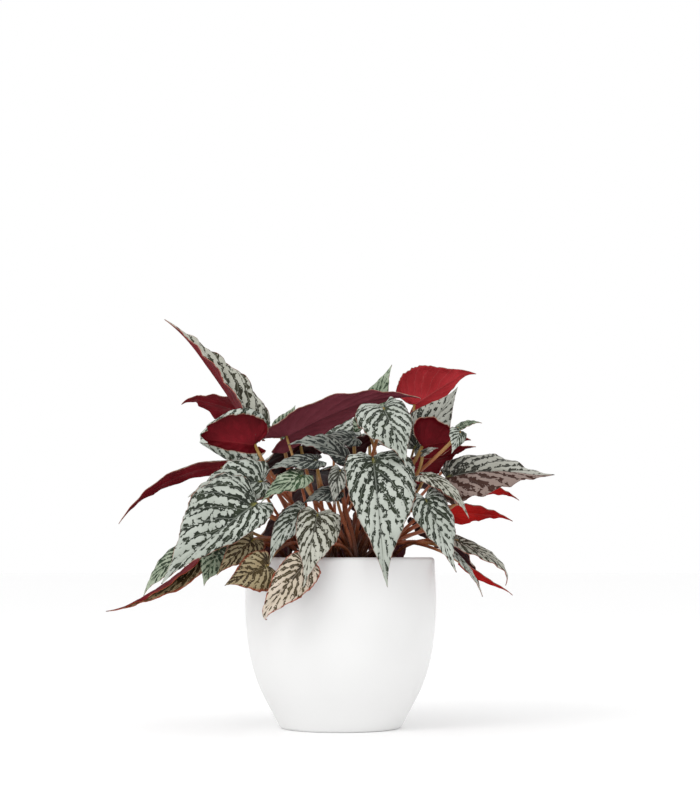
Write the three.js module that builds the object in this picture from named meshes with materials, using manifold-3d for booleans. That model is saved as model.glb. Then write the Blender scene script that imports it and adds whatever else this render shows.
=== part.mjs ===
// Potted begonia: a rex begonia with silver-marked leaves, rooted in a plain white glazed pot.
// Millimetres, +Z up. The origin is the middle of the pot's flat underside, and the side that the
// plant shows best looks along -Y.

import * as THREE from "three";
import { mergeVertices } from "three/addons/utils/BufferGeometryUtils.js";
import Module from "manifold-3d";

const wasm = await Module();
wasm.setup();

// ---------------------------------------------------------------- driving dimensions

const POT_HEIGHT = 124;
const POT_WALL = 4.5;
const POT_FLOOR = 6;
const POT_SIDES = 32;
// Outside of the pot from the edge of its foot to just below its rim: [radius, height].
const POT_OUTLINE = [[44, 0], [51, 13], [60.5, 32], [67, 55], [70.2, 87], [69.2, 121]];
const POT_OUTLINE_STEPS = 9;
const RIM_STEPS = 4;

const SOIL_TOP = 112;
const SOIL_CROWN = 3;
// The rounded shoulder of the soil: share of its radius and share of its crown height.
const SOIL_SHOULDER = [0.5, 0.8];
const FIT_GAP = 0.3;

const RHIZOME_RADIUS = 7;
const RHIZOME_ARMS = 4;
const RHIZOME_REACH = 40;
const RHIZOME_TURN = 20;
const RHIZOME_SIDES = 8;
const RHIZOME_CAP_STEPS = 3;

const STALK_RADIUS = 1.5;
const STALK_SIDES = 5;
const STALK_STEPS = 6;
// The inner end of each arm's rooting zone, as a share of the arm.
const STALK_ROOT_START = 0.25;
// A stalk rises by this share of its reach before it leans out, and leans this much on the way.
const STALK_RISE = 0.45;
const STALK_RISE_LEAN = 0.1;
// It meets the blade along a lead of this share of its reach, bent towards the blade's underside.
const STALK_LEAD = 0.35;
const STALK_LEAD_BEND = 0.9;
// The notch between a blade's lobes takes part of a slanting stalk end, so it needs less room.
const STALK_TILT_SHARE = 0.5;
// A stalk whose leaf sits lower than this above the rim climbs over the rim first.
const STALK_RIM_ROOM = 18;
const STALK_RIM_RISE = 13;
// Share of a turn that spreads the stalks evenly along the arms, whatever their number.
const GOLDEN_STEP = 0.618;

const BLADE_THICKNESS = 0.8;
const BLADE_COLUMNS = 5;
// The blade's skin waves a little from vein to vein: height as a share of the half width, number
// of half waves along the leaf, and how far the waves slant across it.
const BLADE_RIPPLE = 0.035;
const RIPPLE_COUNT = 5;
const RIPPLE_SLANT = 2;

// The begonia leaf lying flat. Each row is one vein: where it leaves the midrib, then how far
// along and how far out it meets the edge, as shares of the leaf's length and half width. The
// first rows make the two round lobes behind the stalk, the last ones the long drawn-out tip.
const VEINS = [
  { start: 0.0, along: -0.05, out: 0.1 },
  { start: 0.03, along: -0.15, out: 0.48 },
  { start: 0.07, along: -0.07, out: 0.86 },
  { start: 0.14, along: 0.14, out: 1.0 },
  { start: 0.25, along: 0.36, out: 0.9 },
  { start: 0.4, along: 0.55, out: 0.6 },
  { start: 0.57, along: 0.72, out: 0.3 },
  { start: 0.76, along: 0.86, out: 0.11 },
  { start: 1.0, along: 1.0, out: 0.02 },
];

const vector = (list) => new THREE.Vector3(...list);
const radians = THREE.MathUtils.degToRad;

// ---------------------------------------------------------------- the leaves, one row each

// A leaf is set by where its stalk meets it, where its tip ends and which way its upper face
// looks, then by its two half widths, left and right of the midrib as seen from above. Bends are
// degrees: rise and fall tip the midrib towards the upper face at the stalk and at the tip, sway
// bows it to the left, fold lifts both halves about the midrib and curl rolls them down again.
// Lobe scales how far the two round lobes reach back behind the stalk.
const LEAVES = [];

function leaf(name, base, tip, face, halves, bends = {}) {
  const row = { name: `leaf_${name}`, base, tip, face, halves };
  const plain = { rise: 12, fall: -18, sway: 0, fold: 14, curl: -26, lobe: 1 };
  LEAVES.push({ ...row, ...plain, ...bends });
}

// Left side of the plant.
leaf("tall_left", [-68, 4, 221], [-130, 0, 302], [0.74, -0.34, 0.58], [19, 23],
  { fold: 45, curl: -8, rise: 4, fall: -10 });
leaf("red_behind_left", [-70, 30, 232], [-124, 34, 245], [0, 0.6, 0.8], [14, 22]);
leaf("cup_left", [-62.5, -20, 206], [-117, -30, 211], [-0.1, 0.97, 0.2], [33, 26],
  { fold: 6, curl: -20, rise: 10, fall: -20 });
leaf("low_left_back", [-116, -24, 128], [-143, -28, 97], [-0.3, -0.85, 0.4], [10, 9]);
leaf("narrow_red", [-88, -4, 191], [-161, -20, 148], [-0.3, 0.5, 0.8], [10, 10],
  { rise: 36, fall: -36 });
leaf("big_left", [-59, -64, 162], [-124, -86, 106], [-0.15, -0.93, 0.33], [16, 39],
  { curl: -22, lobe: 0.6 });
leaf("second_left", [-56, -47, 178], [-109, -52, 168], [-0.2, -0.8, 0.55], [16, 25], { curl: -20 });
leaf("low_left", [-102, -43, 122], [-164, -54, 82], [-0.6, -0.7, 0.45], [11, 14],
  { fold: 8, sway: 20, rise: -6 });
leaf("under_left", [-86, -50, 130], [-97, -56, 104], [-0.2, -0.9, 0.35], [14, 13]);
leaf("olive_low", [-62, -56, 136], [-87, -70, 112], [0.1, -0.9, 0.4], [12, 12]);
leaf("brown_low", [-51, -70, 118], [-81, -73, 105], [0.1, -0.95, 0.2], [17, 14]);

// Front, over and above the rim.
leaf("pot_front", [-24, -85, 120], [-58, -84, 77], [0, -0.92, 0.38], [15, 14], { lobe: 0.5 });
leaf("front_left", [-16, -66, 155], [-25, -94, 104], [0.1, -0.85, 0.5], [19, 14], { lobe: 0.5 });
leaf("front_small", [-25, -57, 157], [-49, -72, 119], [-0.1, -0.85, 0.5], [11, 12],
  { sway: -20, lobe: 0.5 });
leaf("small_green", [-27, -58, 182], [-56, -72, 163], [0, -0.7, 0.7], [11, 12]);
leaf("small_dark", [-17, -50, 193], [-53, -60, 185], [0, -0.6, 0.8], [10, 11]);
leaf("dark_centre", [6, -32, 193], [-38, -48, 204], [0.1, -0.6, 0.8], [14, 22],
  { rise: 36, fall: -40 });
leaf("front_centre", [23, -52, 195], [31, -88, 103], [0.05, -0.93, 0.35], [31, 22],
  { rise: 20, lobe: 0.4 });
leaf("small_centre", [0, -54, 186], [-5, -64, 161], [-0.1, -0.85, 0.5], [9, 8]);
leaf("dark_under", [-3, -50, 171], [-27, -56, 162], [0, -0.7, 0.7], [9, 9]);

// Crown.
leaf("wine_top", [-40, -10, 213], [57, -36, 238], [-0.25, 0.7, 0.7], [15, 20], { rise: 20, fall: -42 });
leaf("behind_wine", [-45, 16, 215], [-34, 20, 238], [0.1, -0.7, 0.7], [11, 11]);
leaf("dark_top", [10, -2, 212], [-17, -10, 208], [0, -0.6, 0.8], [11, 12]);
leaf("centre_right", [31, -38, 232], [47, -64, 188], [0.05, -0.8, 0.6], [18, 24]);
leaf("top_spike", [19, 6, 222], [39, 10, 268], [-0.1, -0.8, 0.6], [13, 13]);
leaf("red_core", [6, 18, 200], [32, 24, 218], [0, 0.6, 0.8], [12, 12]);

// Right side of the plant.
leaf("red_top_right", [55, 16, 238], [101, 22, 267], [0.25, 0.9, 0.35], [11, 27],
  { fold: 6, curl: -14 });
leaf("silver_right", [54, -5, 204], [88, 0, 250], [0.35, -0.8, 0.5], [20, 18], { lobe: 0.6 });
leaf("cup_right", [59, -31, 204], [94, -40, 209], [0.1, 0.9, 0.4], [11, 27],
  { fold: 10, curl: -16, lobe: 0.6 });
leaf("wrap_right", [86, -48, 214], [79, -54, 198], [0.3, -0.9, 0.2], [6, 8], { lobe: 0.3 });
leaf("mid_right", [59, -44, 199], [70, -46, 202], [0, -0.6, 0.8], [4, 5], { fold: 6, curl: -10 });
leaf("red_right", [52, -13, 186], [99, -15, 206], [0, 0.6, 0.8], [15, 17]);
leaf("big_right", [77, -26, 182], [154, -36, 179], [0.1, -0.72, 0.68], [25, 27],
  { curl: -36, rise: 28, fall: -22, lobe: 0.5 });
leaf("arch_right", [60, -54, 182], [90, -60, 150], [0.3, -0.6, 0.7], [8, 10], { rise: 46, fall: -46 });
leaf("front_right", [60, -62, 165], [79, -78, 113], [0.3, -0.85, 0.4], [17, 15]);
leaf("red_tip_right", [94, 0, 176], [133, 6, 167], [0, 0.5, 0.86], [9, 9]);
leaf("red_flat_right", [80, 14, 157], [129, 16, 152], [0.1, 0.6, 0.8], [13, 12]);
leaf("low_right", [86, -8, 136], [123, -2, 104], [0.65, -0.45, 0.65], [11, 11],
  { rise: 22, fall: -60 });
leaf("low_right_front", [79, -28, 130], [102, -38, 96], [0.85, -0.5, 0.4], [6, 6]);
leaf("red_line_right", [93, 14, 117], [129, 16, 98], [0.6, 0.6, 0.5], [4, 4],
  { rise: -12, fall: 12, fold: 4, curl: -4 });
leaf("olive_tail", [89, 24, 222], [107, 28, 225], [0.1, -0.5, 0.86], [5, 5],
  { rise: 34, fall: -34, fold: 6, curl: -10 });

// Far side: the direction is degrees round from +X, then how far out and how high the stalk end
// and the tip are.
function farLeaf(name, direction, baseOut, baseHeight, tipOut, tipHeight, lift, halves, bends) {
  const turn = radians(direction);
  const out = (reach, height) => [reach * Math.cos(turn), reach * Math.sin(turn), height];
  leaf(name, out(baseOut, baseHeight), out(tipOut, tipHeight), out(1, lift), halves, bends);
}

farLeaf("far_right_low", 28, 72, 148, 122, 102, 1.0, [19, 21]);
farLeaf("far_right", 45, 62, 184, 128, 164, 1.6, [22, 20]);
farLeaf("far_right_hang", 68, 70, 154, 116, 94, 0.8, [20, 22]);
farLeaf("far_right_high", 62, 46, 212, 110, 224, 2.4, [22, 21]);
farLeaf("far_mid", 74, 56, 182, 122, 134, 1.1, [26, 24]);
farLeaf("far_mid_hang", 95, 70, 148, 112, 86, 0.7, [20, 20]);
farLeaf("far_top", 98, 36, 216, 96, 242, 2.0, [22, 23]);
farLeaf("far_left", 108, 59, 190, 126, 156, 1.3, [25, 26]);
farLeaf("far_left_hang", 124, 70, 152, 118, 92, 0.8, [23, 21]);
farLeaf("far_left_high", 132, 46, 208, 112, 162, 1.0, [22, 24]);
farLeaf("far_side", 150, 60, 180, 130, 134, 1.1, [22, 24]);
farLeaf("far_side_low", 164, 74, 146, 120, 94, 0.9, [18, 19]);

// ---------------------------------------------------------------- blades

// The leaf's own directions: along it, out of its upper face and to its left.
function leafAxes(row) {
  const base = vector(row.base);
  const span = vector(row.tip).sub(base);
  const length = span.length();
  const along = span.normalize();
  const face = vector(row.face).projectOnPlane(along).normalize();
  const left = new THREE.Vector3().crossVectors(face, along);
  return { base, length, along, face, left };
}

// The midrib is a cubic curve from the stalk to the tip, and runs straight on behind the stalk.
function midrib(row) {
  const { base, length, along, face, left } = leafAxes(row);
  const lean = (tilt, sway) => along.clone().addScaledVector(face, Math.tan(radians(tilt)))
    .addScaledVector(left, Math.tan(radians(sway))).normalize();
  const start = lean(row.rise, row.sway);
  const end = lean(row.fall, -row.sway);
  const tip = vector(row.tip);
  const handle = length / 3;
  const curve = new THREE.CubicBezierCurve3(base, base.clone().addScaledVector(start, handle),
    tip.clone().addScaledVector(end, -handle), tip);
  return (share) => {
    const at = Math.max(share, 0);
    const point = curve.getPoint(at).addScaledVector(start, Math.min(share, 0) * length);
    const tangent = curve.getTangent(at);
    const normal = face.clone().projectOnPlane(tangent).normalize();
    const side = new THREE.Vector3().crossVectors(normal, tangent);
    return { point, tangent, normal, side };
  };
}

// A point of the middle surface: across runs from -1, the right edge, to 1, the left edge, along
// the vein given.
function bladePoint(row, rib, vein, across) {
  const share = Math.abs(across);
  const halfWidth = across > 0 ? row.halves[0] : row.halves[1];
  const out = share * vein.out;
  const edgeAlong = vein.along < 0 ? vein.along * row.lobe : vein.along;
  const along = vein.start + share * (edgeAlong - vein.start);
  const fold = radians(row.fold);
  const curl = radians(row.curl);
  const sideways = (Math.sin(fold + curl * out) - Math.sin(fold)) / curl;
  const upwards = (Math.cos(fold) - Math.cos(fold + curl * out)) / curl;
  const wave = Math.sin(Math.PI * RIPPLE_COUNT * vein.start + across * RIPPLE_SLANT);
  const ripple = BLADE_RIPPLE * share * share * vein.out * wave;
  const { point, normal, side } = rib(along);
  return point.addScaledVector(side, Math.sign(across) * sideways * halfWidth)
    .addScaledVector(normal, (upwards + ripple) * halfWidth);
}

// A thin closed blade: the middle surface is set off half a thickness to each face, and both
// faces are split into the same triangles, so that they never cross.
function bladeGeometry(row) {
  const rib = midrib(row);
  const rows = VEINS.length;
  const cols = BLADE_COLUMNS;
  const middle = [];
  for (const vein of VEINS) {
    const line = [];
    for (let col = 0; col < cols; col += 1) {
      line.push(bladePoint(row, rib, vein, (2 * col) / (cols - 1) - 1));
    }
    middle.push(line);
  }
  const positions = [];
  for (const offset of [BLADE_THICKNESS / 2, -BLADE_THICKNESS / 2]) {
    for (let r = 0; r < rows; r += 1) {
      for (let c = 0; c < cols; c += 1) {
        const acrossStep = middle[r][Math.min(c + 1, cols - 1)].clone().sub(middle[r][Math.max(c - 1, 0)]);
        const alongStep = middle[Math.min(r + 1, rows - 1)][c].clone().sub(middle[Math.max(r - 1, 0)][c]);
        const normal = alongStep.cross(acrossStep).normalize();
        positions.push(...middle[r][c].clone().addScaledVector(normal, offset).toArray());
      }
    }
  }
  const corner = (under, r, c) => (under * rows + r) * cols + c;
  const index = [];
  for (let r = 0; r < rows - 1; r += 1) {
    for (let c = 0; c < cols - 1; c += 1) {
      const leftHalf = c >= (cols - 1) / 2;
      for (const under of [0, 1]) {
        const a = corner(under, r, c);
        const b = corner(under, r, c + 1);
        const d = corner(under, r + 1, c + 1);
        const e = corner(under, r + 1, c);
        const faces = leftHalf ? [[a, e, d], [a, d, b]] : [[a, e, b], [b, e, d]];
        for (const [i, j, k] of faces) {
          index.push(...(under ? [i, k, j] : [i, j, k]));
        }
      }
    }
  }
  const rim = [];
  for (let c = 0; c < cols; c += 1) rim.push([0, c]);
  for (let r = 1; r < rows; r += 1) rim.push([r, cols - 1]);
  for (let c = cols - 2; c >= 0; c -= 1) rim.push([rows - 1, c]);
  for (let r = rows - 2; r > 0; r -= 1) rim.push([r, 0]);
  rim.forEach(([r, c], place) => {
    const [nextR, nextC] = rim[(place + 1) % rim.length];
    const upper = [corner(0, r, c), corner(0, nextR, nextC)];
    const lower = [corner(1, r, c), corner(1, nextR, nextC)];
    index.push(upper[0], lower[1], lower[0], upper[0], upper[1], lower[1]);
  });
  const geometry = new THREE.BufferGeometry();
  geometry.setAttribute("position", new THREE.Float32BufferAttribute(positions, 3));
  geometry.setIndex(index);
  geometry.computeVertexNormals();
  return geometry;
}

// ---------------------------------------------------------------- joining and cutting

function toSolid(geometry) {
  const bare = geometry.clone();
  bare.deleteAttribute("normal");
  bare.deleteAttribute("uv");
  const merged = mergeVertices(bare, 1e-3);
  const vertProperties = new Float32Array(merged.attributes.position.array);
  const triVerts = new Uint32Array(merged.index.array);
  return new wasm.Manifold(new wasm.Mesh({ numProp: 3, vertProperties, triVerts }));
}

function toGeometry(solid) {
  const mesh = solid.getMesh();
  const geometry = new THREE.BufferGeometry();
  geometry.setAttribute("position", new THREE.Float32BufferAttribute(mesh.vertProperties, 3));
  geometry.setIndex(new THREE.Uint32BufferAttribute(mesh.triVerts, 1));
  geometry.computeVertexNormals();
  return geometry;
}

// ---------------------------------------------------------------- pot

function potGeometry() {
  const outside = new THREE.SplineCurve(POT_OUTLINE.map(([r, z]) => new THREE.Vector2(r, z)));
  const outer = outside.getPoints(POT_OUTLINE_STEPS);
  const inner = outer.filter((point) => point.y > POT_FLOOR + POT_WALL)
    .map((point) => new THREE.Vector2(point.x - POT_WALL, point.y)).reverse();
  const rimMiddle = outer.at(-1).clone().sub(new THREE.Vector2(POT_WALL / 2, 0));
  const rim = [];
  for (let step = 1; step < RIM_STEPS; step += 1) {
    const turn = (Math.PI * step) / RIM_STEPS;
    const lift = Math.sin(turn) * (POT_HEIGHT - rimMiddle.y);
    rim.push(new THREE.Vector2(rimMiddle.x + Math.cos(turn) * POT_WALL / 2, rimMiddle.y + lift));
  }
  const floorEdge = inner.at(-1).x - POT_WALL;
  const floor = [new THREE.Vector2(floorEdge, POT_FLOOR), new THREE.Vector2(0, POT_FLOOR)];
  const profile = [new THREE.Vector2(0, 0), ...outer, ...rim, ...inner, ...floor];
  return new THREE.LatheGeometry(profile, POT_SIDES).rotateX(Math.PI / 2);
}

// ---------------------------------------------------------------- rhizome, stalks and soil

const rhizomeHeight = SOIL_TOP + SOIL_CROWN - RHIZOME_RADIUS / 2;

// One creeping arm, half sunk in the soil, made larger by the clearance asked for.
function rhizomeArm(number, clearance) {
  const arm = new THREE.CapsuleGeometry(RHIZOME_RADIUS + clearance, RHIZOME_REACH, RHIZOME_CAP_STEPS,
    RHIZOME_SIDES);
  arm.rotateZ(Math.PI / 2).translate(RHIZOME_REACH / 2, 0, 0);
  arm.rotateZ(radians(RHIZOME_TURN + (number * 360) / RHIZOME_ARMS));
  return arm.translate(0, 0, rhizomeHeight);
}

function joinedArms(clearance) {
  let solid = toSolid(rhizomeArm(0, clearance));
  for (let number = 1; number < RHIZOME_ARMS; number += 1) {
    solid = solid.add(toSolid(rhizomeArm(number, clearance)));
  }
  return solid;
}

// The stalk leaves the arm that points most nearly at its leaf, rises, leans out and meets the
// blade from below. The stalk of a low leaf climbs over the pot's rim on its way.
function stalkPath(row, number) {
  const underLeaf = midrib(row)(0).normal;
  const direction = Math.atan2(row.base[1], row.base[0]) - radians(RHIZOME_TURN);
  const armTurn = (2 * Math.PI) / RHIZOME_ARMS;
  const arm = Math.round(direction / armTurn) * armTurn + radians(RHIZOME_TURN);
  const spread = THREE.MathUtils.lerp(STALK_ROOT_START, 1, (number * GOLDEN_STEP) % 1);
  const root = new THREE.Vector3(Math.cos(arm), Math.sin(arm), 0).multiplyScalar(RHIZOME_REACH * spread);
  root.z = rhizomeHeight;
  const join = vector(row.base);
  const reach = join.clone().sub(root);
  const length = reach.length();
  const rise = new THREE.Vector3(reach.x * STALK_RISE_LEAN, reach.y * STALK_RISE_LEAN, length * STALK_RISE);
  rise.add(root);
  rise.z = Math.max(rise.z, POT_HEIGHT + STALK_RIM_ROOM);
  const lead = reach.clone().normalize().addScaledVector(underLeaf, STALK_LEAD_BEND).normalize();
  lead.multiplyScalar(-STALK_LEAD * length).add(join);
  if (join.z < POT_HEIGHT + STALK_RIM_ROOM) lead.z = Math.max(lead.z, POT_HEIGHT + STALK_RIM_RISE);
  const arrive = join.clone().sub(lead).normalize();
  const straightness = arrive.dot(underLeaf);
  const tiltRoom = STALK_TILT_SHARE * STALK_RADIUS * Math.sqrt(1 - straightness ** 2);
  const standOff = (BLADE_THICKNESS / 2 + FIT_GAP + tiltRoom) / straightness;
  return new THREE.CubicBezierCurve3(root, rise, lead, join.addScaledVector(arrive, -standOff));
}

function stalkGeometry(row, number) {
  const section = new THREE.Shape();
  for (let side = 0; side < STALK_SIDES; side += 1) {
    const turn = (2 * Math.PI * side) / STALK_SIDES;
    const spot = [STALK_RADIUS * Math.cos(turn), STALK_RADIUS * Math.sin(turn)];
    if (side === 0) section.moveTo(...spot);
    else section.lineTo(...spot);
  }
  section.closePath();
  const extrudePath = stalkPath(row, number);
  return new THREE.ExtrudeGeometry(section, { steps: STALK_STEPS, extrudePath, bevelEnabled: false });
}

function stalksGeometry() {
  let solid = joinedArms(0);
  LEAVES.forEach((row, number) => {
    solid = solid.add(toSolid(stalkGeometry(row, number)));
  });
  return toGeometry(solid);
}

// The soil fills the pot to just under the rim and stands a little higher in the middle.
function soilGeometry() {
  const outside = new THREE.SplineCurve(POT_OUTLINE.map(([r, z]) => new THREE.Vector2(r, z)));
  const wall = outside.getPoints(POT_OUTLINE_STEPS)
    .filter((point) => point.y > POT_FLOOR + POT_WALL && point.y < SOIL_TOP)
    .map((point) => new THREE.Vector2(point.x - POT_WALL - FIT_GAP, point.y));
  const floorEdge = wall[0].x - POT_WALL;
  const profile = [
    new THREE.Vector2(0, POT_FLOOR + FIT_GAP),
    new THREE.Vector2(floorEdge, POT_FLOOR + FIT_GAP),
    ...wall,
    new THREE.Vector2(wall.at(-1).x - FIT_GAP, SOIL_TOP),
    new THREE.Vector2(wall.at(-1).x * SOIL_SHOULDER[0], SOIL_TOP + SOIL_CROWN * SOIL_SHOULDER[1]),
    new THREE.Vector2(0, SOIL_TOP + SOIL_CROWN),
  ];
  const full = new THREE.LatheGeometry(profile, POT_SIDES).rotateX(Math.PI / 2);
  return toGeometry(toSolid(full).subtract(joinedArms(FIT_GAP)));
}

// ---------------------------------------------------------------- the plant in its pot

const GLAZE = { color: 0xf2f1ee, roughness: 0.28, metalness: 0 };
const EARTH = { color: 0x2b1d14, roughness: 0.95, metalness: 0 };
const STALK_SKIN = { color: 0x96402c, roughness: 0.5, metalness: 0 };
const LEAF_SKIN = { color: 0x9fb09c, roughness: 0.45, metalness: 0 };

function piece(name, geometry, finish) {
  const mesh = new THREE.Mesh(geometry, new THREE.MeshStandardMaterial(finish));
  mesh.name = name;
  return mesh;
}

const plant = new THREE.Group();
plant.add(piece("stalks", stalksGeometry(), STALK_SKIN));
for (const row of LEAVES) {
  plant.add(piece(row.name, bladeGeometry(row), LEAF_SKIN));
}

const begonia = new THREE.Group();
begonia.add(piece("pot", potGeometry(), GLAZE));
begonia.add(piece("soil", soilGeometry(), EARTH));
begonia.add(plant);

export default begonia;
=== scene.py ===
# %% [markdown]
# A rex begonia in a white glazed pot.
#
# The solids of the plant arrive as a fixed frame: one node for the pot, one for the soil, one
# for all the stalks and one for each leaf blade. The lesson leaves every size and place as the
# frame has it and makes the surfaces: glaze, crumbly peat, juicy red stalks and silver leaves.

# %% Load the frame
import math
import random

import bmesh
import bpy
from mathutils import Matrix, Quaternion, Vector, noise


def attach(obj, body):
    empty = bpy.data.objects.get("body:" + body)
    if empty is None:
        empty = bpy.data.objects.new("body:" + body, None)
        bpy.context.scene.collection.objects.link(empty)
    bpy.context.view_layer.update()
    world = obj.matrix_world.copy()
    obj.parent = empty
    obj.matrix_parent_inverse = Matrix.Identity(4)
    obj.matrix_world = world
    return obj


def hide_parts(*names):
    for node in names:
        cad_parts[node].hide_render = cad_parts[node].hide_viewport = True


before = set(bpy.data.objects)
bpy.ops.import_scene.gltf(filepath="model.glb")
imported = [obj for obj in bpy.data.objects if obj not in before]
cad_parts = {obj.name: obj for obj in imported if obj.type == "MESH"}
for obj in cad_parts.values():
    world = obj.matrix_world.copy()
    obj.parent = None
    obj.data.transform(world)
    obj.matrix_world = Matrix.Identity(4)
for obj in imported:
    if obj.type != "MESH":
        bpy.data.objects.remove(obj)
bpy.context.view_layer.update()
MM = 0.001
print("nodes in the frame:", len(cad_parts))

# %% [markdown]
# The camera comes first, so that every later step can be looked at from the same spot. A long
# lens stands a little under 1.4 m away at the height of the pot's rim and looks up by five
# degrees. The rim is then seen as a line, and the leaves above it are seen from below. The
# standard view transform leaves the colours as they are painted.

# %% Camera
CAMERA_PLACE = Vector((6.85, -1370, 125)) * MM
CAMERA_LIFT = math.radians(4.82)
LENS_MM, SENSOR_MM = 83.25, 36

camera_data = bpy.data.cameras.new("camera")
camera_data.lens = LENS_MM
camera_data.sensor_width = SENSOR_MM
camera = bpy.data.objects.new("camera", camera_data)
camera.location = CAMERA_PLACE
camera.rotation_euler = (math.pi / 2 + CAMERA_LIFT, 0, 0)
bpy.context.scene.collection.objects.link(camera)
bpy.context.scene.camera = camera
bpy.context.scene.view_settings.view_transform = "Standard"
print("camera at", [round(value, 3) for value in CAMERA_PLACE])

# %% [markdown]
# Leaves show their figure best in soft light, so the studio is a white room: a pale floor and a
# white sky. The floor wears the plainest kind of material, one colour and one roughness, and the
# helper that makes it is used again for the stalks' hairs and for perlite.

# %% Floor and sky
FLOOR_SIZE = 12.0
FLOOR_WHITE = (0.985, 0.985, 0.985)
SKY_WHITE, SKY_STRENGTH = (1, 1, 1, 1), 1.0


def plain_material(name, colour, roughness, specular=0.5):
    material = bpy.data.materials.new(name)
    material.use_nodes = True
    shader = material.node_tree.nodes["Principled BSDF"]
    shader.inputs["Base Color"].default_value = (*colour, 1)
    shader.inputs["Roughness"].default_value = roughness
    shader.inputs["Specular IOR Level"].default_value = specular
    return material


floor_mesh = bpy.data.meshes.new("floor")
floor_bm = bmesh.new()
bmesh.ops.create_grid(floor_bm, x_segments=1, y_segments=1, size=FLOOR_SIZE)
floor_bm.to_mesh(floor_mesh)
floor_bm.free()
floor = bpy.data.objects.new("floor", floor_mesh)
bpy.context.scene.collection.objects.link(floor)
floor_mesh.materials.append(plain_material("floor_paint", FLOOR_WHITE, 0.9, 0.1))

sky = bpy.data.worlds.new("sky")
sky.use_nodes = True
sky.node_tree.nodes["Background"].inputs["Color"].default_value = SKY_WHITE
sky.node_tree.nodes["Background"].inputs["Strength"].default_value = SKY_STRENGTH
bpy.context.scene.world = sky
print("floor reaches", FLOOR_SIZE, "m each way")

# %% [markdown]
# Three big square lamps give the soft light some direction. One stands high on the left, a
# weaker one on the right, and a third lights the undersides of the leaves from low in front.

# %% Lamps
LAMPS = {
    "key_lamp": {"place": (-1.1, -1.3, 1.5), "size": 1.1, "power": 11},
    "fill_lamp": {"place": (1.4, -1.0, 0.9), "size": 1.3, "power": 0.5},
    "low_lamp": {"place": (-0.2, -1.9, 0.25), "size": 0.9, "power": 1.5},
}
LAMP_TARGET = Vector((0, 0, 0.16))

for name, setting in LAMPS.items():
    lamp_data = bpy.data.lights.new(name, "AREA")
    lamp_data.size = setting["size"]
    lamp_data.energy = setting["power"]
    lamp = bpy.data.objects.new(name, lamp_data)
    lamp.location = setting["place"]
    aim = LAMP_TARGET - lamp.location
    lamp.rotation_euler = aim.to_track_quat("-Z", "Y").to_euler()
    bpy.context.scene.collection.objects.link(lamp)
print("lamps:", ", ".join(LAMPS))

# %% [markdown]
# Every piece is made the same way: a bmesh becomes a mesh, the mesh an object that rides on the
# one body of the part and takes the place of a node of the frame, which is hidden, and it wears
# the materials that it is given. This helper does those last steps for all of them.

# %% A helper that hands a piece over
def make_piece(name, bm, node, slot, materials):
    mesh = bpy.data.meshes.new(name)
    bm.to_mesh(mesh)
    bm.free()
    for polygon in mesh.polygons:
        polygon.use_smooth = True
    for material in materials:
        mesh.materials.append(material)
    piece = bpy.data.objects.new(name, mesh)
    bpy.context.scene.collection.objects.link(piece)
    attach(piece, "root")
    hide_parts(node)
    return piece


print("helper:", make_piece.__name__)

# %% [markdown]
# Materials are small node trees. Wiring them by hand in Python is wordy, so a few helpers keep
# each material short: one adds a node and fills its sockets, one adds a maths node, one a smooth
# step between two values, and one a mix of two colours. A Mix node holds sockets for numbers,
# vectors and colours side by side, so the ones for colours are named by their places.

# %% Helpers for node trees
MIX_SHARE, MIX_FIRST, MIX_SECOND, MIX_RESULT = 0, 6, 7, 2


def feed(tree, socket, value):
    """Links the socket to another node's output, or fills in a plain value."""
    if isinstance(value, bpy.types.NodeSocket):
        tree.links.new(value, socket)
    else:
        socket.default_value = value


def add_node(tree, kind, settings=None, **sockets):
    node = tree.nodes.new(kind)
    for key, value in (settings or {}).items():
        setattr(node, key, value)
    for key, value in sockets.items():
        feed(tree, node.inputs[key.replace("_", " ")], value)
    return node


def maths(tree, operation, *values):
    node = add_node(tree, "ShaderNodeMath", {"operation": operation})
    for socket, value in zip(node.inputs, values):
        feed(tree, socket, value)
    return node.outputs[0]


def step(tree, value, low, high):
    """Rises smoothly from 0 to 1 while the value goes from low to high."""
    node = add_node(tree, "ShaderNodeMapRange", {"interpolation_type": "SMOOTHSTEP"})
    for socket, item in zip(node.inputs, (value, low, high)):
        feed(tree, socket, item)
    return node.outputs[0]


def step_down(tree, value, low, high):
    """Falls smoothly from 1 to 0 while the value goes from low to high."""
    return maths(tree, "SUBTRACT", 1.0, step(tree, value, low, high))


def mix_colours(tree, share, first, second):
    node = add_node(tree, "ShaderNodeMix", {"data_type": "RGBA"})
    feed(tree, node.inputs[MIX_SHARE], share)
    for place, colour in ((MIX_FIRST, first), (MIX_SECOND, second)):
        feed(tree, node.inputs[place], (*colour, 1) if isinstance(colour, tuple) else colour)
    return node.outputs[MIX_RESULT]


print("node helpers:", ", ".join(helper.__name__ for helper in (add_node, maths, step, mix_colours)))

# %% [markdown]
# The other helpers are about whole materials. Noise breaks up every surface here, its scale
# being roughly the number of grains in a metre. All noise reads the object's own coordinates, so
# it stays on the surface from any side. A bump lets a height catch the light.

# %% Helpers for noise, bump and a new material
def noise_value(tree, place, scale, detail=2.0, roughness=0.5):
    node = add_node(tree, "ShaderNodeTexNoise", Scale=scale, Detail=detail, Roughness=roughness)
    tree.links.new(place, node.inputs["Vector"])
    return node.outputs["Fac"]


def add_bump(tree, shader, height, strength, distance):
    bump = add_node(tree, "ShaderNodeBump", Strength=strength, Distance=distance)
    tree.links.new(height, bump.inputs["Height"])
    tree.links.new(bump.outputs["Normal"], shader.inputs["Normal"])


def start_material(name):
    material = bpy.data.materials.new(name)
    material.use_nodes = True
    tree = material.node_tree
    place = tree.nodes.new("ShaderNodeTexCoord").outputs["Object"]
    return material, tree, tree.nodes["Principled BSDF"], place


print("material helpers:", noise_value.__name__, add_bump.__name__, start_material.__name__)

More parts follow.
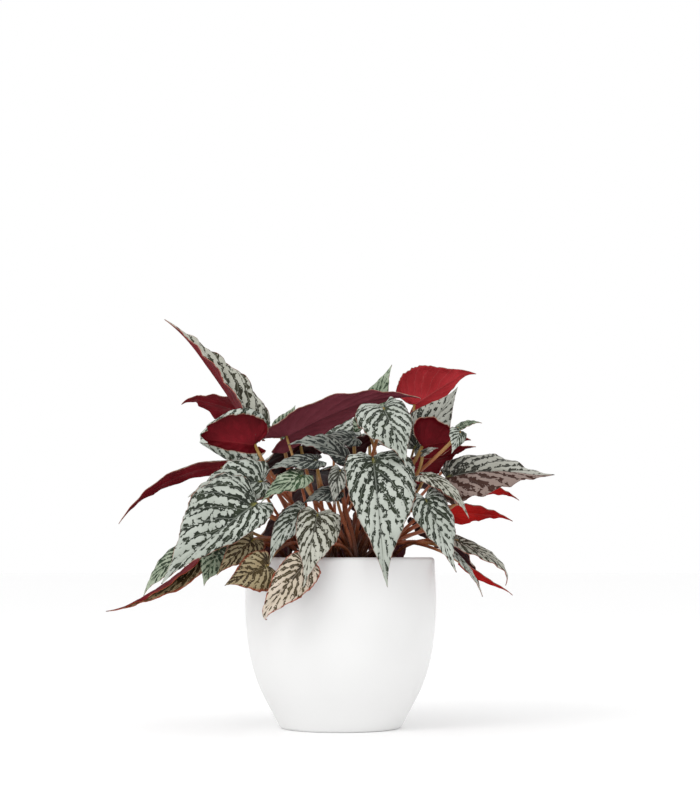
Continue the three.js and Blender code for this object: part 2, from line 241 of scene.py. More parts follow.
# %% [markdown]
# The silver figure is the plant's signature. On the real leaf a dark green band runs along each
# vein, with a torn outline, and the skin between the bands is lifted off the green below it and
# shines silver. A painted picture would fit one leaf only, so the figure is worked out from a
# map that each blade carries. The map is named `vein`: across, it runs from one edge over the
# midrib to the other, and along, from the stalk to the tip. The first veins leave the stalk
# together like a fan, the others leave the midrib in turn, and each forks once on its way out.
# This step finds how far a spot lies from the nearest vein and fork, counted in veins.

# %% How far a spot lies from the veins
VEIN_COUNT = 12.0
FAN_SHARE = 0.4
VEIN_BEND = 0.55
LEAST_OUTWARD = 0.02
FORK_START, FORK_END, FORK_DRIFT = 0.25, 0.9, 0.48
WAVER_SCALE, WAVER = 150.0, 0.55


def vein_distances(tree, place, across, along):
    # A spot belongs to the vein that meets the edge at edge_share of the leaf's rows.
    outward = maths(tree, "POWER", across, VEIN_BEND)
    inward = maths(tree, "MULTIPLY", maths(tree, "SUBTRACT", 1.0, outward), 1 / (1 - FAN_SHARE))
    fan = maths(tree, "DIVIDE", along, maths(tree, "MAXIMUM", outward, LEAST_OUTWARD))
    from_rib = maths(tree, "MULTIPLY_ADD", inward, FAN_SHARE, along)
    from_rib = maths(tree, "DIVIDE", from_rib, maths(tree, "ADD", outward, inward))
    edge_share = maths(tree, "MINIMUM", fan, from_rib)
    waver = maths(tree, "SUBTRACT", noise_value(tree, place, WAVER_SCALE, roughness=0.6), 0.5)
    count = maths(tree, "MULTIPLY_ADD", waver, WAVER, maths(tree, "MULTIPLY", edge_share, VEIN_COUNT))
    off_vein = maths(tree, "PINGPONG", count, 0.5)

    # The branch of a fork drifts off to the tip side.
    past_vein = maths(tree, "SUBTRACT", maths(tree, "FRACT", maths(tree, "ADD", count, 0.5)), 0.5)
    drift_off = maths(tree, "MULTIPLY", step(tree, across, FORK_START, FORK_END), FORK_DRIFT)
    off_fork = maths(tree, "ABSOLUTE", maths(tree, "SUBTRACT", past_vein, drift_off))
    return off_vein, off_fork


print("veins on a half:", int(VEIN_COUNT))

# %% [markdown]
# Silver grows in small cushions of skin. Cells stand for the cushions, and a finer set of cells
# for the specks that stand alone in the green. A spot holds the more silver, the farther it is
# from a vein. Cushions, specks, grit and broad patches add to that, which tears the outline of
# the bands, and a fork takes silver away.

# %% How much silver a spot holds
CUSHION_SCALE, CUSHION_SIZE = 270.0, 0.55
SPECK_SCALE, SPECK_EDGE = 620.0, (0.15, 0.45)
GRIT_SCALE, PATCH_SCALE = 420.0, 85.0
FORK_EDGE, FORK_GROWTH = (0.0, 0.16), (FORK_START, 0.6)
ROOM_AT_RIB, ROOM_GAIN = 2.6, 1.4
FORK_WEIGHT, CUSHION_WEIGHT, SPECK_WEIGHT, GRIT_WEIGHT, PATCH_WEIGHT = -0.95, 2.1, 0.75, 0.7, 0.8


def cells(tree, place, scale):
    found = add_node(tree, "ShaderNodeTexVoronoi", {"feature": "F1"}, Scale=scale, Randomness=1.0)
    tree.links.new(place, found.inputs["Vector"])
    return found.outputs["Distance"]


def silver_amount(tree, place, across, off_vein, off_fork):
    cushion = maths(tree, "SUBTRACT", CUSHION_SIZE, cells(tree, place, CUSHION_SCALE))
    specks = step_down(tree, cells(tree, place, SPECK_SCALE), *SPECK_EDGE)
    grit = maths(tree, "SUBTRACT", noise_value(tree, place, GRIT_SCALE, 3.0, 0.6), 0.5)
    patches = maths(tree, "SUBTRACT", noise_value(tree, place, PATCH_SCALE, 1.0), 0.5)
    fork_band = step_down(tree, off_fork, *FORK_EDGE)
    fork_band = maths(tree, "MULTIPLY", fork_band, step(tree, across, *FORK_GROWTH))
    room = maths(tree, "MULTIPLY_ADD", across, ROOM_GAIN, ROOM_AT_RIB)
    silver = maths(tree, "MULTIPLY", off_vein, room)
    for part, weight in ((fork_band, FORK_WEIGHT), (cushion, CUSHION_WEIGHT), (specks, SPECK_WEIGHT),
                         (grit, GRIT_WEIGHT), (patches, PATCH_WEIGHT)):
        silver = maths(tree, "MULTIPLY_ADD", part, weight, silver)
    return silver


print("cushions of about", round(1000 / CUSHION_SCALE, 1), "mm")

# %% [markdown]
# Both steps go into one node group, which the materials for young, shaded and old leaves and for
# the undersides all use. It sets the silver of a spot against its green, which gathers round the
# stalk, along the midrib and a little at the edge, and gives way at the tip. It gives out masks:
# the silver, the fine line of each vein, the way across, the joint with the stalk and one half.

# %% The leaf figure as a node group
# Where each zone starts and ends, as a share of the half width or of the length.
STALK_SIDE, STALK_END = (0.02, 0.55), (0.2, 0.6)
RIB_SIDE, RIB_END = (0.015, 0.09), (0.4, 0.85)
JOINT_SIDE, JOINT_END = (0.02, 0.14), (0.06, 0.26)
EDGE_ZONE, TIP_ZONE, RIGHT_HALF = (0.7, 1.0), (0.45, 0.9), (-0.05, 0.15)
RIB_LINE = (0.008, 0.03)
# How much green each zone holds, and how sharply silver takes over from green.
STALK_GREEN, EDGE_GREEN, RIB_GREEN, TIP_GREEN = 0.5, 0.15, 0.8, -0.55
SILVER_EDGE = (-0.07, 0.1)
# Where the fine line of a vein ends, counted in veins.
VEIN_LINE = (0.01, 0.045)


def make_figure_group():
    tree = bpy.data.node_groups.new("leaf_figure", "ShaderNodeTree")
    for name, value in (("Dark Share", 0.62), ("Tip Silver", 1.0)):
        socket = tree.interface.new_socket(name, in_out="INPUT", socket_type="NodeSocketFloat")
        socket.default_value = value
    for name in ("Silver", "Vein", "Across", "Joint", "Half"):
        tree.interface.new_socket(name, in_out="OUTPUT", socket_type="NodeSocketFloat")
    given = tree.nodes.new("NodeGroupInput").outputs
    result = tree.nodes.new("NodeGroupOutput").inputs
    place = tree.nodes.new("ShaderNodeTexCoord").outputs["Object"]
    leaf_map = add_node(tree, "ShaderNodeUVMap", {"uv_map": "vein"}).outputs[0]
    split = add_node(tree, "ShaderNodeSeparateXYZ", Vector=leaf_map).outputs
    signed = maths(tree, "MULTIPLY_ADD", split["X"], 2.0, -1.0)
    across = maths(tree, "ABSOLUTE", signed)
    along = split["Y"]
    off_vein, off_fork = vein_distances(tree, place, across, along)
    silver = silver_amount(tree, place, across, off_vein, off_fork)

    def patch(side, end):
        return maths(tree, "MULTIPLY", step_down(tree, across, *side), step_down(tree, along, *end))

    to_tip = maths(tree, "MULTIPLY", step(tree, along, *TIP_ZONE), given["Tip Silver"])
    dark = given["Dark Share"]
    for part, weight in ((patch(STALK_SIDE, STALK_END), STALK_GREEN),
                         (step(tree, across, *EDGE_ZONE), EDGE_GREEN),
                         (patch(RIB_SIDE, RIB_END), RIB_GREEN), (to_tip, TIP_GREEN)):
        dark = maths(tree, "MULTIPLY_ADD", part, weight, dark)
    lines = step_down(tree, off_vein, *VEIN_LINE), step_down(tree, across, *RIB_LINE)
    masks = {
        "Silver": step(tree, maths(tree, "SUBTRACT", silver, dark), *SILVER_EDGE),
        "Vein": maths(tree, "MAXIMUM", *lines),
        "Across": across,
        "Joint": patch(JOINT_SIDE, JOINT_END),
        "Half": step(tree, signed, *RIGHT_HALF),
    }
    for name, mask in masks.items():
        tree.links.new(mask, result[name])
    return tree


leaf_figure = make_figure_group()
print("leaf figure nodes:", len(leaf_figure.nodes))

# %% [markdown]
# The upper face mixes a silver and a green through that mask. The silver is no flat grey: it
# drifts between two tones over a few centimetres. The edge has a hair-fine red line. Eight
# materials share the recipe, because the leaves of one plant differ and because some of them
# carry painted shade. Leaves in full light are bright, some are warmer or greyer, and one has a
# rosy half that is darkened as painted shade. Leaves inside the crown wear a dim copy, which is
# painted shade; the newest are green, and the oldest at the bottom have turned cream and olive,
# with a broad rust-red border.

# %% Upper faces
# The second colour is the dark of the rosy half, which is painted shade.
JOINT_OLIVE, SHADED_HALF_DARK = (0.26, 0.25, 0.05), (0.045, 0.012, 0.006)
GRAIN_SHARE, LINE_SHARE, JOINT_SHARE, SHADED_HALF_SHARE = 0.25, 0.35, 0.85, 0.85
SILVER_POLISH, GREEN_ROUGHNESS, GRAIN_HEIGHT = -0.1, 0.52, 0.35


def use_figure(tree, **values):
    node = add_node(tree, "ShaderNodeGroup", {"node_tree": leaf_figure}, **values)
    return node.outputs


def upper_face(name, silver, pearl, green, deep, edge, border, dark, tip_silver=1.0, rosy_shaded_half=None):
    material, tree, shader, place = start_material(name)
    figure = use_figure(tree, Dark_Share=dark, Tip_Silver=tip_silver)
    drift = step(tree, noise_value(tree, place, scale=38.0), 0.35, 0.65)
    grain = noise_value(tree, place, scale=1500.0)
    bright = mix_colours(tree, drift, silver, pearl)
    bright = mix_colours(tree, maths(tree, "MULTIPLY", grain, GRAIN_SHARE), bright, green)
    deepness = step(tree, noise_value(tree, place, scale=130.0), 0.3, 0.7)
    shade = mix_colours(tree, deepness, green, deep)
    shade = mix_colours(tree, maths(tree, "MULTIPLY", figure["Vein"], LINE_SHARE), shade, silver)
    colour = mix_colours(tree, figure["Silver"], shade, bright)
    joint = maths(tree, "MULTIPLY", figure["Joint"], JOINT_SHARE)
    colour = mix_colours(tree, joint, colour, JOINT_OLIVE)
    ragged = noise_value(tree, place, scale=240.0)
    ragged = maths(tree, "MULTIPLY_ADD", ragged, border, figure["Across"])
    rim = step(tree, ragged, 1.0 - 0.1 * border, 1.0 + 0.6 * border)
    colour = mix_colours(tree, rim, colour, edge)
    # One half of the leaf is darkened with a rosy tint: painted shade of the half that hangs down.
    if rosy_shaded_half:
        shaded_half_colour = mix_colours(tree, figure["Silver"], SHADED_HALF_DARK, rosy_shaded_half)
        shaded_half_weight = maths(tree, "MULTIPLY", figure["Half"], SHADED_HALF_SHARE)
        colour = mix_colours(tree, shaded_half_weight, colour, shaded_half_colour)
    tree.links.new(colour, shader.inputs["Base Color"])
    roughness = maths(tree, "MULTIPLY_ADD", figure["Silver"], SILVER_POLISH, GREEN_ROUGHNESS)
    tree.links.new(roughness, shader.inputs["Roughness"])
    shader.inputs["Specular IOR Level"].default_value = 0.22
    height = maths(tree, "MULTIPLY_ADD", grain, GRAIN_HEIGHT, figure["Silver"])
    add_bump(tree, shader, height, strength=0.8, distance=0.0006)


UPPER_FACES = {
    "silver_young": {"silver": (0.42, 0.455, 0.40), "pearl": (0.53, 0.565, 0.51),
                     "green": (0.024, 0.033, 0.017), "deep": (0.010, 0.015, 0.008),
                     "edge": (0.30, 0.13, 0.085), "border": 0.06, "dark": 0.86},
    "silver_warm": {"silver": (0.44, 0.44, 0.37), "pearl": (0.53, 0.53, 0.46),
                    "green": (0.034, 0.034, 0.014), "deep": (0.018, 0.015, 0.006),
                    "edge": (0.34, 0.09, 0.06), "border": 0.06, "dark": 0.86},
    "silver_grey": {"silver": (0.33, 0.335, 0.295), "pearl": (0.43, 0.435, 0.385),
                    "green": (0.026, 0.027, 0.017), "deep": (0.011, 0.011, 0.007),
                    "edge": (0.25, 0.10, 0.08), "border": 0.05, "dark": 0.88},
    # This copy paints shade over one half of the leaf, with a rosy tint.
    "silver_rosy_shaded": {"silver": (0.36, 0.36, 0.31), "pearl": (0.45, 0.45, 0.40),
                    "green": (0.026, 0.027, 0.017), "deep": (0.011, 0.011, 0.007),
                    "edge": (0.25, 0.08, 0.06), "border": 0.05, "dark": 0.88,
                    "rosy_shaded_half": (0.23, 0.155, 0.135)},
    "silver_shaded": {"silver": (0.20, 0.215, 0.19), "pearl": (0.30, 0.32, 0.285),
                      "green": (0.018, 0.024, 0.020), "deep": (0.007, 0.010, 0.009),
                      "edge": (0.14, 0.05, 0.045), "border": 0.05, "dark": 0.98},
    "silver_green": {"silver": (0.27, 0.33, 0.23), "pearl": (0.42, 0.48, 0.36),
                     "green": (0.028, 0.062, 0.024), "deep": (0.012, 0.026, 0.011),
                     "edge": (0.30, 0.12, 0.08), "border": 0.05, "dark": 0.88},
    "silver_cream": {"silver": (0.56, 0.48, 0.37), "pearl": (0.70, 0.60, 0.50),
                     "green": (0.065, 0.048, 0.018), "deep": (0.030, 0.020, 0.008),
                     "edge": (0.33, 0.05, 0.02), "border": 0.2, "dark": 0.8, "tip_silver": 0.7},
    "silver_old": {"silver": (0.33, 0.255, 0.14), "pearl": (0.42, 0.36, 0.22),
                   "green": (0.056, 0.036, 0.008), "deep": (0.020, 0.010, 0.003),
                   "edge": (0.26, 0.04, 0.012), "border": 0.3, "dark": 0.9, "tip_silver": 0.6},
}
for name, look in UPPER_FACES.items():
    upper_face(name, **look)
print("upper faces:", ", ".join(UPPER_FACES))

# %% [markdown]
# The underside is red all over, because the pigment sits in the lower skin. The veins stand out
# there, a little paler and pinker. The same map places them, so they lie exactly under the dark
# bands of the upper face.

# %% Undersides
BACK_DARK, BETWEEN_SHARE, BACK_LINE_SHARE, BACK_GRAIN_HEIGHT = 0.6, 0.3, 0.22, 0.6


def under_face(name, red, deep_red, vein_red):
    material, tree, shader, place = start_material(name)
    figure = use_figure(tree, Dark_Share=BACK_DARK)
    drift = step(tree, noise_value(tree, place, scale=60.0, detail=3.0), 0.3, 0.7)
    colour = mix_colours(tree, drift, red, deep_red)
    between = maths(tree, "MULTIPLY", figure["Silver"], BETWEEN_SHARE)
    colour = mix_colours(tree, between, colour, deep_red)
    line = maths(tree, "MULTIPLY", figure["Vein"], BACK_LINE_SHARE)
    colour = mix_colours(tree, line, colour, vein_red)
    tree.links.new(colour, shader.inputs["Base Color"])
    shader.inputs["Roughness"].default_value = 0.48
    shader.inputs["Specular IOR Level"].default_value = 0.07
    grain = noise_value(tree, place, scale=900.0)
    height = maths(tree, "MULTIPLY_ADD", grain, BACK_GRAIN_HEIGHT, figure["Vein"])
    add_bump(tree, shader, height, strength=0.55, distance=0.0005)


# The red, the deeper red that it drifts to, and the red of the veins.
UNDERSIDES = {
    "crimson_back": ((0.165, 0.006, 0.012), (0.095, 0.003, 0.006), (0.22, 0.025, 0.025)),
    # The next two reds are brighter copies for undersides that the light shines on: painted light.
    "lit_rose_back": ((0.41, 0.028, 0.036), (0.29, 0.016, 0.020), (0.50, 0.14, 0.13)),
    "lit_back": ((0.46, 0.008, 0.006), (0.28, 0.004, 0.004), (0.52, 0.06, 0.04)),
    "wine_back": ((0.185, 0.040, 0.055), (0.145, 0.028, 0.040), (0.21, 0.06, 0.075)),
    # A near-black red for the undersides of the far leaves and of the crown's inside: painted shade.
    "shaded_back": ((0.040, 0.003, 0.005), (0.018, 0.002, 0.003), (0.06, 0.008, 0.01)),
    "old_back": ((0.13, 0.014, 0.010), (0.055, 0.006, 0.005), (0.20, 0.05, 0.025)),
}
for name, reds in UNDERSIDES.items():
    under_face(name, *reds)
print("undersides:", ", ".join(UNDERSIDES))

# %% [markdown]
# A begonia leaf is a fan. Veins leave the midrib one after another and run out to the edge, and
# between two of them the edge bulges and dips. So the leaf is described by its veins: where each
# one starts on the midrib and how far along and out it meets the edge. Smooth curves through
# those few rows give as many veins in between as the mesh needs. These are the rows that shaped
# the solids, with a finer tip, so the fine blade covers the plain one.

# %% The flat leaf
VEINS = [
    (0.0, -0.05, 0.1),
    (0.03, -0.15, 0.48),
    (0.07, -0.07, 0.86),
    (0.14, 0.14, 1.0),
    (0.25, 0.36, 0.9),
    (0.4, 0.55, 0.6),
    (0.57, 0.72, 0.3),
    (0.76, 0.86, 0.11),
    (1.0, 1.0, 0.004),
]


def between_rows(rows, place):
    """The row at a place between the given ones, on a smooth curve through them all."""
    row = min(int(place), len(rows) - 2)
    t = place - row
    near = [rows[min(max(row + k, 0), len(rows) - 1)] for k in (-1, 0, 1, 2)]
    return [0.5 * (2 * here + (there - before) * t
                   + (2 * before - 5 * here + 4 * there - after) * t * t
                   + (3 * here - before - 3 * there + after) * t ** 3)
            for before, here, there, after in zip(*near)]


def vein_at(share):
    """Start on the midrib, distance along and distance out of the vein at a share of the leaf."""
    start, along, out = between_rows(VEINS, min(max(share, 0.0), 1.0) * (len(VEINS) - 1))
    return start, along, max(out, 0.0)


print("middle vein:", [round(value, 3) for value in vein_at(0.5)])

# %% [markdown]
# Each leaf of the plant is one row: where the stalk meets it, where the tip ends, which way the
# silver face looks, and its two half widths, left and right of the midrib. Bends are in degrees:
# rise and fall tip the midrib at the stalk and at the tip, sway bows it, fold lifts both halves
# and curl rolls them down. The rows repeat those of the solids, in millimetres.

# %% The leaves of the plant
LEAVES = {}


def leaf(name, base, tip, face, halves, rise=12, fall=-18, sway=0, fold=14, curl=-26, lobe=1):
    LEAVES[name] = {"base": Vector(base), "tip": Vector(tip), "face": Vector(face),
                    "halves": halves, "rise": rise, "fall": fall, "sway": sway, "fold": fold,
                    "curl": curl, "lobe": lobe}


def polar(reach, turn, height):
    """A spot at a reach from the pot's axis, in a direction and at a height."""
    return Vector((reach * math.cos(turn), reach * math.sin(turn), height))


def far_leaf(name, direction, base_out, base_height, tip_out, tip_height, lift, halves):
    turn = math.radians(direction)
    leaf(name, polar(base_out, turn, base_height), polar(tip_out, turn, tip_height),
         polar(1, turn, lift), halves)


# Left side of the plant.
leaf("tall_left", [-68, 4, 221], [-130, 0, 302], [0.74, -0.34, 0.58], [19, 23],
     fold=45, curl=-8, rise=4, fall=-10)
leaf("red_behind_left", [-70, 30, 232], [-124, 34, 245], [0, 0.6, 0.8], [14, 22])
leaf("cup_left", [-62.5, -20, 206], [-117, -30, 211], [-0.1, 0.97, 0.2], [33, 26],
     fold=6, curl=-20, rise=10, fall=-20)
leaf("low_left_back", [-116, -24, 128], [-143, -28, 97], [-0.3, -0.85, 0.4], [10, 9])
leaf("narrow_red", [-88, -4, 191], [-161, -20, 148], [-0.3, 0.5, 0.8], [10, 10], rise=36, fall=-36)
leaf("big_left", [-59, -64, 162], [-124, -86, 106], [-0.15, -0.93, 0.33], [16, 39],
     curl=-22, lobe=0.6)
leaf("second_left", [-56, -47, 178], [-109, -52, 168], [-0.2, -0.8, 0.55], [16, 25], curl=-20)
leaf("low_left", [-102, -43, 122], [-164, -54, 82], [-0.6, -0.7, 0.45], [11, 14],
     fold=8, sway=20, rise=-6)
leaf("under_left", [-86, -50, 130], [-97, -56, 104], [-0.2, -0.9, 0.35], [14, 13])
leaf("olive_low", [-62, -56, 136], [-87, -70, 112], [0.1, -0.9, 0.4], [12, 12])
leaf("brown_low", [-51, -70, 118], [-81, -73, 105], [0.1, -0.95, 0.2], [17, 14])

# Front, over and above the rim.
leaf("pot_front", [-24, -85, 120], [-58, -84, 77], [0, -0.92, 0.38], [15, 14], lobe=0.5)
leaf("front_left", [-16, -66, 155], [-25, -94, 104], [0.1, -0.85, 0.5], [19, 14], lobe=0.5)
leaf("front_small", [-25, -57, 157], [-49, -72, 119], [-0.1, -0.85, 0.5], [11, 12],
     sway=-20, lobe=0.5)
leaf("small_green", [-27, -58, 182], [-56, -72, 163], [0, -0.7, 0.7], [11, 12])
leaf("small_dark", [-17, -50, 193], [-53, -60, 185], [0, -0.6, 0.8], [10, 11])
leaf("dark_centre", [6, -32, 193], [-38, -48, 204], [0.1, -0.6, 0.8], [14, 22], rise=36, fall=-40)
leaf("front_centre", [23, -52, 195], [31, -88, 103], [0.05, -0.93, 0.35], [31, 22],
     rise=20, lobe=0.4)
leaf("small_centre", [0, -54, 186], [-5, -64, 161], [-0.1, -0.85, 0.5], [9, 8])
leaf("dark_under", [-3, -50, 171], [-27, -56, 162], [0, -0.7, 0.7], [9, 9])

# Crown.
leaf("wine_top", [-40, -10, 213], [57, -36, 238], [-0.25, 0.7, 0.7], [15, 20], rise=20, fall=-42)
leaf("behind_wine", [-45, 16, 215], [-34, 20, 238], [0.1, -0.7, 0.7], [11, 11])
leaf("dark_top", [10, -2, 212], [-17, -10, 208], [0, -0.6, 0.8], [11, 12])
leaf("centre_right", [31, -38, 232], [47, -64, 188], [0.05, -0.8, 0.6], [18, 24])
leaf("top_spike", [19, 6, 222], [39, 10, 268], [-0.1, -0.8, 0.6], [13, 13])
leaf("red_core", [6, 18, 200], [32, 24, 218], [0, 0.6, 0.8], [12, 12])

# Right side of the plant.
leaf("red_top_right", [55, 16, 238], [101, 22, 267], [0.25, 0.9, 0.35], [11, 27], fold=6, curl=-14)
leaf("silver_right", [54, -5, 204], [88, 0, 250], [0.35, -0.8, 0.5], [20, 18], lobe=0.6)
leaf("cup_right", [59, -31, 204], [94, -40, 209], [0.1, 0.9, 0.4], [11, 27],
     fold=10, curl=-16, lobe=0.6)
leaf("wrap_right", [86, -48, 214], [79, -54, 198], [0.3, -0.9, 0.2], [6, 8], lobe=0.3)
leaf("mid_right", [59, -44, 199], [70, -46, 202], [0, -0.6, 0.8], [4, 5], fold=6, curl=-10)
leaf("red_right", [52, -13, 186], [99, -15, 206], [0, 0.6, 0.8], [15, 17])
leaf("big_right", [77, -26, 182], [154, -36, 179], [0.1, -0.72, 0.68], [25, 27],
     curl=-36, rise=28, fall=-22, lobe=0.5)
leaf("arch_right", [60, -54, 182], [90, -60, 150], [0.3, -0.6, 0.7], [8, 10], rise=46, fall=-46)
leaf("front_right", [60, -62, 165], [79, -78, 113], [0.3, -0.85, 0.4], [17, 15])
leaf("red_tip_right", [94, 0, 176], [133, 6, 167], [0, 0.5, 0.86], [9, 9])
leaf("red_flat_right", [80, 14, 157], [129, 16, 152], [0.1, 0.6, 0.8], [13, 12])
leaf("low_right", [86, -8, 136], [123, -2, 104], [0.65, -0.45, 0.65], [11, 11], rise=22, fall=-60)
leaf("low_right_front", [79, -28, 130], [102, -38, 96], [0.85, -0.5, 0.4], [6, 6])
leaf("red_line_right", [93, 14, 117], [129, 16, 98], [0.6, 0.6, 0.5], [4, 4],
     rise=-12, fall=12, fold=4, curl=-4)
leaf("olive_tail", [89, 24, 222], [107, 28, 225], [0.1, -0.5, 0.86], [5, 5],
     rise=34, fall=-34, fold=6, curl=-10)

# Far side: the direction is degrees round from +X, then how far out and how high the stalk end
# and the tip are.
far_leaf("far_right_low", 28, 72, 148, 122, 102, 1.0, [19, 21])
far_leaf("far_right", 45, 62, 184, 128, 164, 1.6, [22, 20])
far_leaf("far_right_hang", 68, 70, 154, 116, 94, 0.8, [20, 22])
far_leaf("far_right_high", 62, 46, 212, 110, 224, 2.4, [22, 21])
far_leaf("far_mid", 74, 56, 182, 122, 134, 1.1, [26, 24])
far_leaf("far_mid_hang", 95, 70, 148, 112, 86, 0.7, [20, 20])
far_leaf("far_top", 98, 36, 216, 96, 242, 2.0, [22, 23])
far_leaf("far_left", 108, 59, 190, 126, 156, 1.3, [25, 26])
far_leaf("far_left_hang", 124, 70, 152, 118, 92, 0.8, [23, 21])
far_leaf("far_left_high", 132, 46, 208, 112, 162, 1.0, [22, 24])
far_leaf("far_side", 150, 60, 180, 130, 134, 1.1, [22, 24])
far_leaf("far_side_low", 164, 74, 146, 120, 94, 0.9, [18, 19])
print("leaves:", len(LEAVES))

# %% [markdown]
# Most leaves wear the young silver above and crimson below. The others are named here with their
# materials: the old ones hang low, the shaded ones sit inside the crown in a dim copy that is
# painted shade, the undersides far back and inside the crown wear a near-black red, also painted
# shade, and the undersides that the light shines on wear brighter reds, which is painted light.

# %% Which leaf wears what
PLAIN_FACE, PLAIN_BACK = "silver_young", "crimson_back"
FACES = {
    "silver_warm": ["front_left", "arch_right", "low_right", "tall_left"],
    "silver_rosy_shaded": ["big_right"],
    "silver_grey": ["silver_right", "mid_right", "small_centre"],
    "silver_shaded": ["dark_under", "dark_centre", "dark_top", "small_dark", "red_core"],
    "silver_green": ["small_green", "behind_wine", "top_spike", "under_left", "low_left_back",
                     "olive_tail"],
    "silver_cream": ["pot_front"],
    "silver_old": ["brown_low", "low_left", "olive_low"],
}
BACKS = {
    "lit_rose_back": ["red_top_right"],
    "lit_back": ["red_flat_right", "red_tip_right", "red_line_right"],
    "wine_back": ["wine_top", "dark_top", "behind_wine"],
    "shaded_back": [name for name in LEAVES if name.startswith("far_")] + ["dark_under", "red_core"],
    "old_back": ["brown_low", "olive_low", "pot_front"],
}


def worn_by(name, choices, plain):
    found = next((choice for choice, names in choices.items() if name in names), plain)
    return bpy.data.materials[found]


print("the leaf over the pot wears", worn_by("pot_front", FACES, PLAIN_FACE).name)

# %% [markdown]
# At the margin both halves of a blade roll under, and on a few leaves so far that the silver
# shows round the red like the rim of a cup. The tip ends in a thin hook. Nearly all leaves share
# one roll and one hook, and those that the eye falls on have their own.

# %% Rolled margins and hooked tips
# How far the margin rolls under in degrees, and where the roll starts on the left and right half.
PLAIN_ROLL = (30, 0.6, 0.6)
MARGIN_ROLL = {
    "cup_left": (175, 0.72, 0.5), "cup_right": (60, 0.6, 0.6), "wine_top": (40, 0.7, 0.7),
    "red_top_right": (40, 0.6, 0.6), "low_left": (-165, 1.0, 0.05),
}
# How far the tip turns under, and how far it turns to the left, in degrees.
PLAIN_HOOK = (18, 8)
TIP_HOOK = {
    "tall_left": (10, 15), "red_behind_left": (10, -60), "cup_left": (150, 0), "narrow_red": (0, -30),
    "low_left": (-5, -25), "pot_front": (100, 10), "wine_top": (25, 0), "red_top_right": (0, 40),
    "low_right": (60, 0), "big_right": (-20, 0), "front_left": (20, 0), "front_right": (10, 15),
    "big_left": (20, 0), "red_flat_right": (25, 0), "centre_right": (20, 0),
    "far_side_low": (-110, 0),
}
# The share of the midrib where the hook starts. A tip that turns far starts early and stays round.
PLAIN_HOOK_START = 0.72
EARLY_HOOK_START = {"cup_left": 0.55, "far_side_low": 0.55}

for name, row in LEAVES.items():
    row["roll"] = MARGIN_ROLL.get(name, PLAIN_ROLL)
    row["hook"] = TIP_HOOK.get(name, PLAIN_HOOK)
    row["hook_start"] = EARLY_HOOK_START.get(name, PLAIN_HOOK_START)
print("leaves with a hook of their own:", len(TIP_HOOK))

# %% [markdown]
# The midrib is a cubic curve from stalk to tip, which is the curve that a springy rod takes. It
# gives a point and the two directions square to it, towards the silver face and to the left.
# Past the start of the hook it goes on along a circle.

# %% The midrib
def on_cubic(first, second, third, last, t):
    s = 1 - t
    return first * s ** 3 + second * 3 * s * s * t + third * 3 * s * t * t + last * t ** 3


def midrib(row):
    span = row["tip"] - row["base"]
    length = span.length
    along = span.normalized()
    face = (row["face"] - along * row["face"].dot(along)).normalized()
    left = face.cross(along)

    def lean(tilt, sway):
        upward, sideways = math.tan(math.radians(tilt)), math.tan(math.radians(sway))
        return (along + face * upward + left * sideways).normalized()

    start = lean(row["rise"], row["sway"])
    end = lean(row["fall"], -row["sway"])
    first, last = row["base"], row["tip"]
    second = first + start * length / 3
    third = last - end * length / 3
    hook_axis = Vector([math.radians(turn) for turn in row["hook"]])
    hook_start = row["hook_start"]

    def at(share):
        t = max(share, 0.0)
        s = 1 - t
        point = on_cubic(first, second, third, last, t) + start * min(share, 0.0) * length
        tangent = (second - first) * s * s + (third - second) * 2 * s * t + (last - third) * t * t
        tangent.normalize()
        normal = (face - tangent * face.dot(tangent)).normalized()
        return point, normal, normal.cross(tangent)

    def hooked(share):
        if share <= hook_start:
            return at(share)
        point, normal, side = at(hook_start)
        ahead = side.cross(normal)
        axis = (side * hook_axis.x + normal * hook_axis.y).normalized()
        full = hook_axis.length
        angle = full * (share - hook_start) / (1 - hook_start)
        arm = length * (1 - hook_start) / full
        point = point + (ahead * math.sin(angle) + axis.cross(ahead) * (1 - math.cos(angle))) * arm
        turn = Quaternion(axis, angle)
        return point, turn @ normal, turn @ side

    return hooked


print("middle of a midrib:", [round(x) for x in midrib(LEAVES["big_left"])(0.5)[0]])

# %% [markdown]
# Across the midrib both halves rise by the fold, roll down again by the curl and roll under at
# the margin. On top of that come the fine forms: the skin is pinched in along each vein and
# puffed up between them, the border waves, and small teeth stand along the edge. A bump in the
# material would leave the outline smooth, so these forms are moved points. Each one is a share
# of the half width.

# %% Bending one vein line
RIPPLE, RIPPLE_COUNT, RIPPLE_SLANT = 0.035, 5, 2
PUFF, PUFF_SPREAD, PUFF_FLANK, PUFF_ROUND, PUFF_SINK = 0.045, 5, 4, 0.6, 0.7
RIB_DEPTH, RIB_WIDTH = 1.2, 0.06
BORDER_WAVE, WAVE_COUNT, WAVE_SHIFT, WAVE_POWER = 0.06, 41, 6, 4
SCALLOP, TOOTH, TEETH, NOTCH_POWER = 0.035, 0.035, 26, 10
ROLL_WIDTH = 0.25
TAPER = 3


